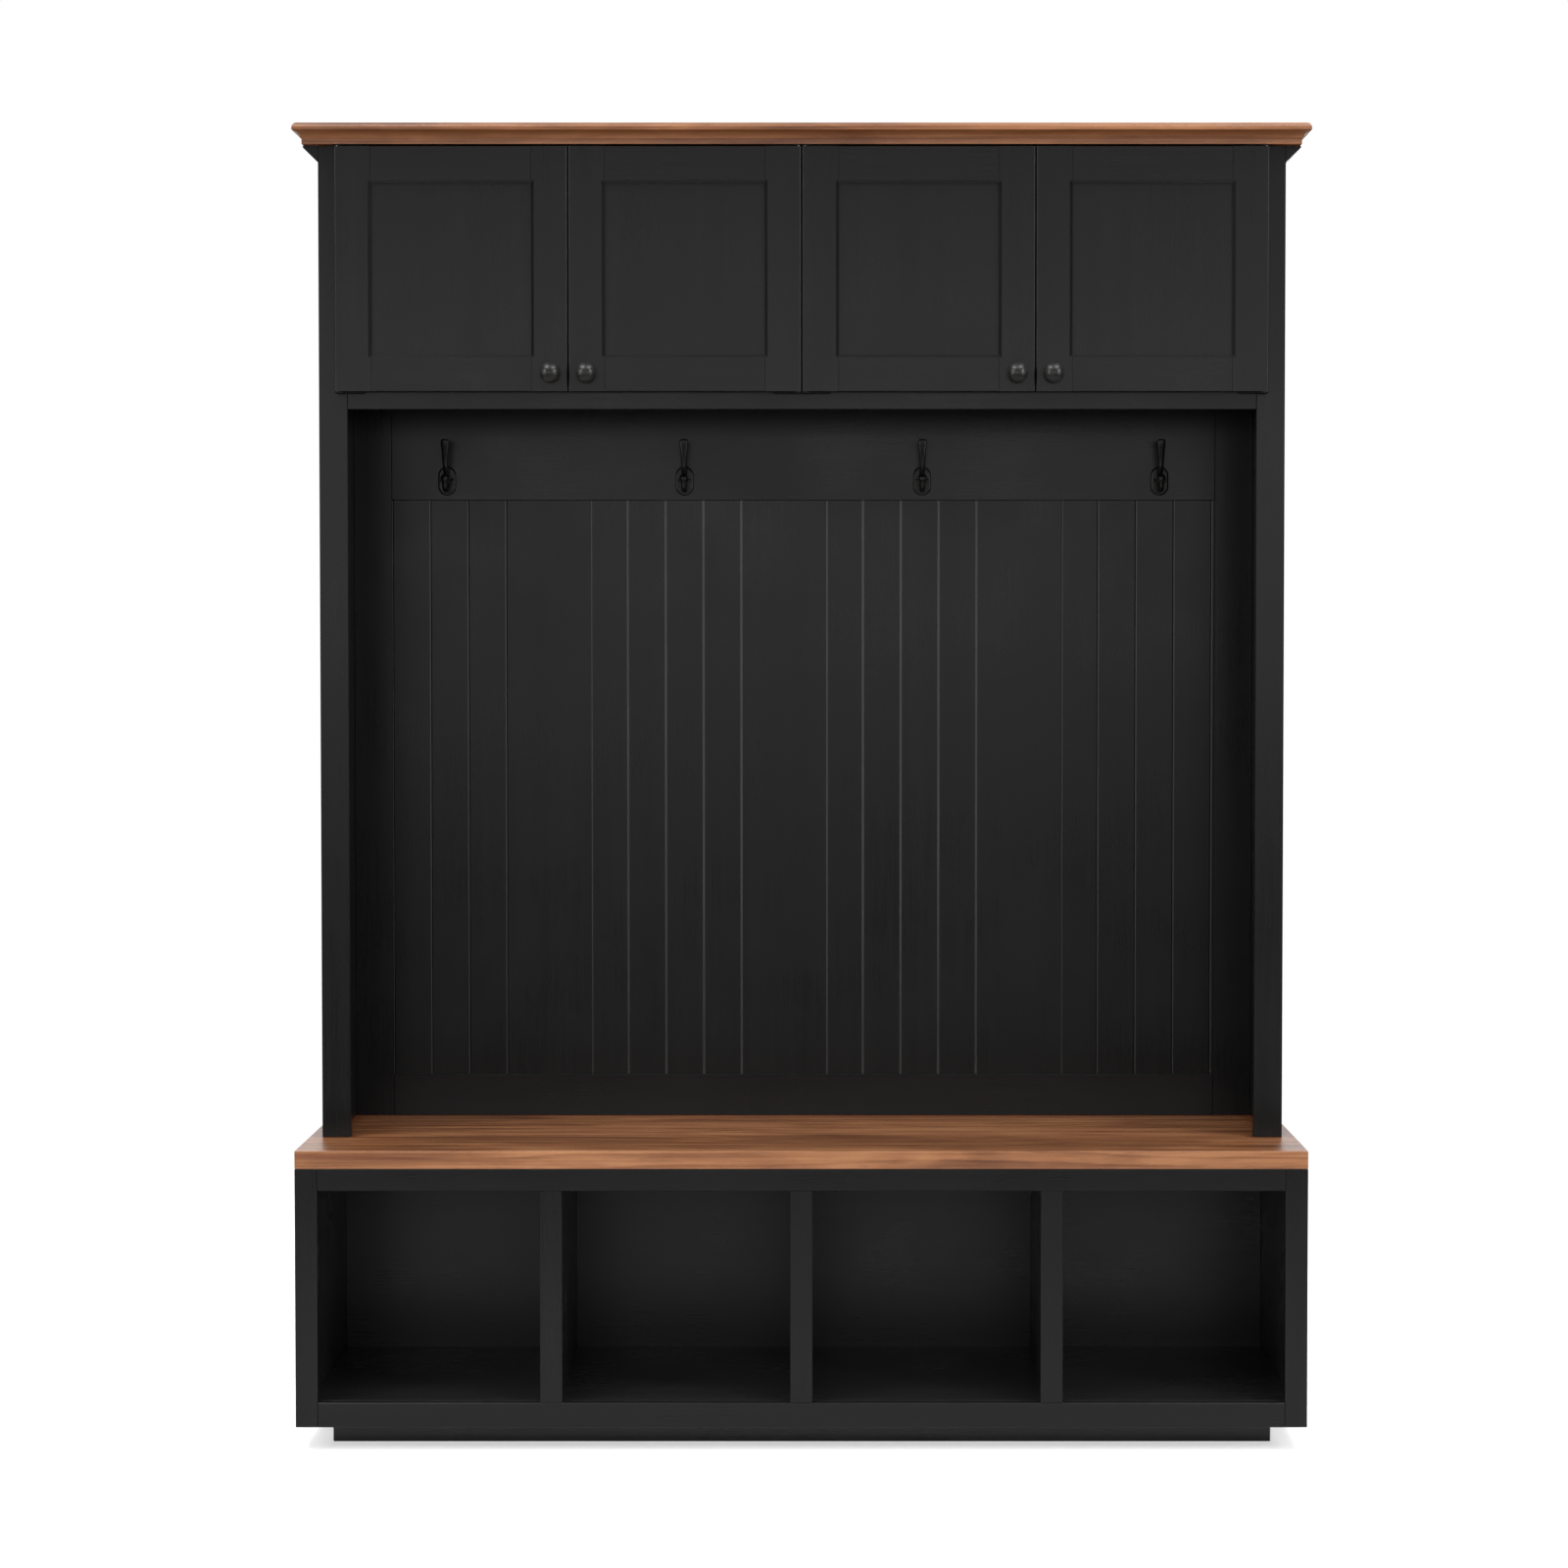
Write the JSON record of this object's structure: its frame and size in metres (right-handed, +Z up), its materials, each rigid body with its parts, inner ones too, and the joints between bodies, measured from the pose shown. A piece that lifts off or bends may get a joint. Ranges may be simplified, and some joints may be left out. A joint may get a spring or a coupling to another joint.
{
  "type": "hall tree",
  "caption": "Hall tree in black paint: cubby bench with a wood seat, grooved back with coat hooks, and a door cabinet under a moulded wood cornice.",
  "frame": {"origin": "on the floor, under the middle of the object's box", "axes": "+Z up, +X to the right seen from the front, +Y to the back, so the front faces -Y"},
  "size_m": [1.5296, 0.457, 1.9793],
  "materials": {
    "black_paint": "satin black paint on board",
    "stained_wood": "red-brown stained wood, satin lacquer",
    "dark_metal": "dark bronze, half gloss",
    "black_steel": "black paint",
    "steel": "blackened steel",
    "nylon": "black nylon",
    "felt": "dark soft pad"
  },
  "bodies": {
    "cabinet": {"back_base_rail": "black_paint", "back_stiles": "black_paint", "beadboard_panel": "black_paint", "bench_apron_rail": "black_paint", "bench_back_panel": "black_paint", "bench_bottom_panel": "black_paint", "bench_bottom_rail": "black_paint", "bench_dividers": "black_paint", "bench_left_side": "black_paint", "bench_mullions": "black_paint", "bench_rear_rail": "black_paint", "bench_right_side": "black_paint", "bench_seat": "stained_wood", "bench_stiles": "black_paint", "cabinet_back_panel": "black_paint", "cabinet_bottom_rail": "black_paint", "cabinet_centre_mullion": "black_paint", "cabinet_divider": "black_paint", "cabinet_floor": "black_paint", "cabinet_top_panel": "black_paint", "cabinet_top_rail": "black_paint", "coat_hook_1": "dark_metal", "coat_hook_2": "dark_metal", "coat_hook_3": "dark_metal", "coat_hook_4": "dark_metal", "cornice_side_mouldings": "black_paint", "cornice_top": "stained_wood", "door_bumpers": "felt", "hook_rail": "black_paint", "hook_screws": "dark_metal", "hutch_left_side": "black_paint", "hutch_left_stile": "black_paint", "hutch_right_side": "black_paint", "hutch_right_stile": "black_paint", "pivot_pins": "steel", "pivot_plates": "black_steel", "plinth_back_board": "black_paint", "plinth_cross_boards": "black_paint", "plinth_front_board": "black_paint", "wall_fixing_rail": "black_paint"},
    "door_1": {"door_1_knob": "dark_metal", "door_1_panel": "black_paint", "door_1_pivot_bushes": "nylon", "door_1_rails": "black_paint", "door_1_stiles": "black_paint"},
    "door_2": {"door_2_knob": "dark_metal", "door_2_panel": "black_paint", "door_2_pivot_bushes": "nylon", "door_2_rails": "black_paint", "door_2_stiles": "black_paint"},
    "door_3": {"door_3_knob": "dark_metal", "door_3_panel": "black_paint", "door_3_pivot_bushes": "nylon", "door_3_rails": "black_paint", "door_3_stiles": "black_paint"},
    "door_4": {"door_4_knob": "dark_metal", "door_4_panel": "black_paint", "door_4_pivot_bushes": "nylon", "door_4_rails": "black_paint", "door_4_stiles": "black_paint"}
  },
  "joints": [
    {"name": "door_1_hinge", "type": "hinge", "parent": "cabinet", "child": "door_1", "pos_m": [-0.6988, -0.087, 1.7614], "axis": [0, 0, -1], "range_deg": [0, 110]},
    {"name": "door_2_hinge", "type": "hinge", "parent": "cabinet", "child": "door_2", "pos_m": [-0.0048, -0.087, 1.7614], "axis": [0, 0, 1], "range_deg": [0, 85]},
    {"name": "door_3_hinge", "type": "hinge", "parent": "cabinet", "child": "door_3", "pos_m": [0.0048, -0.087, 1.7614], "axis": [0, 0, -1], "range_deg": [0, 85]},
    {"name": "door_4_hinge", "type": "hinge", "parent": "cabinet", "child": "door_4", "pos_m": [0.6988, -0.087, 1.7614], "axis": [0, 0, 1], "range_deg": [0, 110]}
  ]
}
